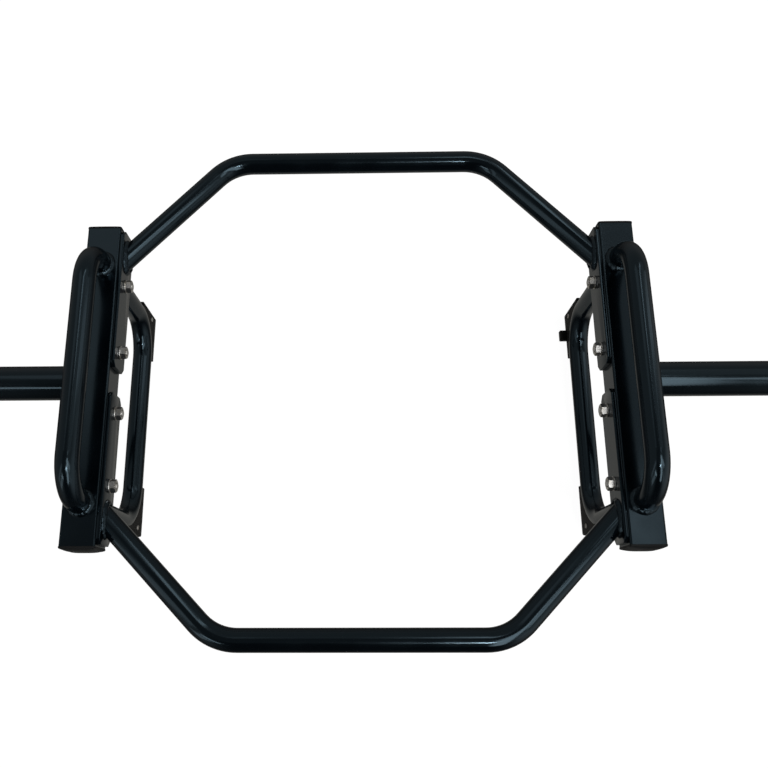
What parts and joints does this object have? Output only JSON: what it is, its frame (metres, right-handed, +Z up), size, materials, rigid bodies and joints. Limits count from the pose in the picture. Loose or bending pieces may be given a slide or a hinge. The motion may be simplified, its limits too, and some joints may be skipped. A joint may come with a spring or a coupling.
{
  "type": "hex trap bar",
  "caption": "Hexagonal deadlift frame with square side beams, raised bent-tube handles, tube stands with corner feet, bolted-on frame tubes and round sleeves for weight plates.",
  "frame": {"origin": "on the floor, under the middle of the hexagon", "axes": "+X along the sleeves to the lifter's right, +Y to the rear as the picture shows it, +Z up"},
  "size_m": [1.601, 0.747, 0.3555],
  "materials": {
    "black_paint": "gloss black paint",
    "cap_plastic": "moulded, satin",
    "foot_rubber": "moulded, matt",
    "zinc_plating": "bright zinc plating"
  },
  "bodies": {
    "root": {"left_beam": "black_paint", "left_sleeve": "black_paint", "left_handle": "black_paint", "left_stand": "black_paint", "left_sleeve_cap": "cap_plastic", "left_front_beam_cap": "cap_plastic", "left_front_foot": "foot_rubber", "left_front_plate": "black_paint", "left_rear_beam_cap": "cap_plastic", "left_rear_foot": "foot_rubber", "left_rear_plate": "black_paint", "right_beam": "black_paint", "right_sleeve": "black_paint", "right_handle": "black_paint", "right_stand": "black_paint", "right_sleeve_cap": "cap_plastic", "right_front_beam_cap": "cap_plastic", "right_front_foot": "foot_rubber", "right_front_plate": "black_paint", "right_rear_beam_cap": "cap_plastic", "right_rear_foot": "foot_rubber", "right_rear_plate": "black_paint", "front_frame_tube": "black_paint", "rear_frame_tube": "black_paint", "foot_lugs": "black_paint", "foot_screws": "zinc_plating", "right_rear_foot_tab": "foot_rubber", "frame_bolts": "zinc_plating", "frame_washers": "zinc_plating", "frame_nuts": "zinc_plating"}
  },
  "joints": []
}
